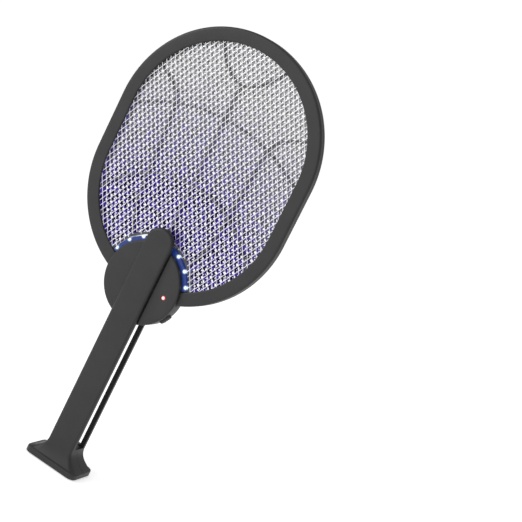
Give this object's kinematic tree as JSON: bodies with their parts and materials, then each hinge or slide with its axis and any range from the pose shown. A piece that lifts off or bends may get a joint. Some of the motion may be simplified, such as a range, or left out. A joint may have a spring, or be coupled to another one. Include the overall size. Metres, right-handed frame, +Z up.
{
  "type": "electric fly swatter",
  "caption": "Racket-shaped electric fly swatter whose head slides down between two flat legs on a flared foot to stand as an insect lamp.",
  "frame": {"origin": "centre of the foot's underside, on the surface it stands on", "axes": "+Z up along the legs, -Y is the front (indicator side), +X is the side with the push button"},
  "size_m": [0.205, 0.0372, 0.4425],
  "materials": {
    "charcoal_plastic": "fine satin texture",
    "black_plastic": "satin",
    "web_plastic": "satin",
    "foot_rubber": "matt",
    "steel": "bright",
    "screw_steel": "zinc plated",
    "net_wire": "bright wire",
    "acetal": "black",
    "lamp_violet": "clear violet",
    "uv_emitter": "lit",
    "circuit_board": "solder mask",
    "cell_pouch": "foil",
    "ferrite": "matt",
    "film_capacitor": "dipped",
    "indicator_red": "lit"
  },
  "bodies": {
    "handle": {"base_cap": "black_plastic", "foot_pad": "foot_rubber", "handle_front_shell": "charcoal_plastic", "handle_rear_shell": "charcoal_plastic", "handle_screw_1": "screw_steel", "handle_screw_2": "screw_steel"},
    "head": {"battery_pack": "cell_pouch", "frame_screw_1": "screw_steel", "frame_screw_2": "screw_steel", "frame_screw_3": "screw_steel", "frame_screw_4": "screw_steel", "frame_screw_5": "screw_steel", "frame_screw_6": "screw_steel", "frame_screw_7": "screw_steel", "front_net": "net_wire", "front_net_spacer": "acetal", "front_web_guard": "web_plastic", "head_front_frame": "charcoal_plastic", "head_rear_frame": "charcoal_plastic", "housing_front_cover": "charcoal_plastic", "housing_rear_cover": "charcoal_plastic", "housing_screw_1": "screw_steel", "housing_screw_2": "screw_steel", "housing_screw_3": "screw_steel", "housing_screw_4": "screw_steel", "indicator_led": "indicator_red", "indicator_light_pipe": "indicator_red", "lamp_lens": "lamp_violet", "led_board": "circuit_board", "main_board": "circuit_board", "middle_grid": "net_wire", "rear_net": "net_wire", "rear_net_spacer": "acetal", "rear_web_guard": "web_plastic", "slide_shoe_front": "acetal", "slide_shoe_rear": "acetal", "step_up_transformer": "ferrite", "storage_capacitor": "film_capacitor", "tact_switch": "black_plastic", "usb_c_socket": "steel", "uv_led_1": "uv_emitter", "uv_led_2": "uv_emitter", "uv_led_3": "uv_emitter", "uv_led_4": "uv_emitter", "uv_led_5": "uv_emitter", "uv_led_6": "uv_emitter", "uv_led_7": "uv_emitter", "uv_led_8": "uv_emitter"},
    "button": {"power_button": "black_plastic"}
  },
  "joints": [
    {"name": "head_slide", "type": "slide", "parent": "handle", "child": "head", "axis": [0, 0, 1], "range_m": [-0.1318, 0]},
    {"name": "button_press", "type": "slide", "parent": "head", "child": "button", "axis": [-0.866, 0, 0.5], "range_m": [0, 0.0012], "stiffness_N_per_m": 800, "springref_m": -0.0005}
  ]
}
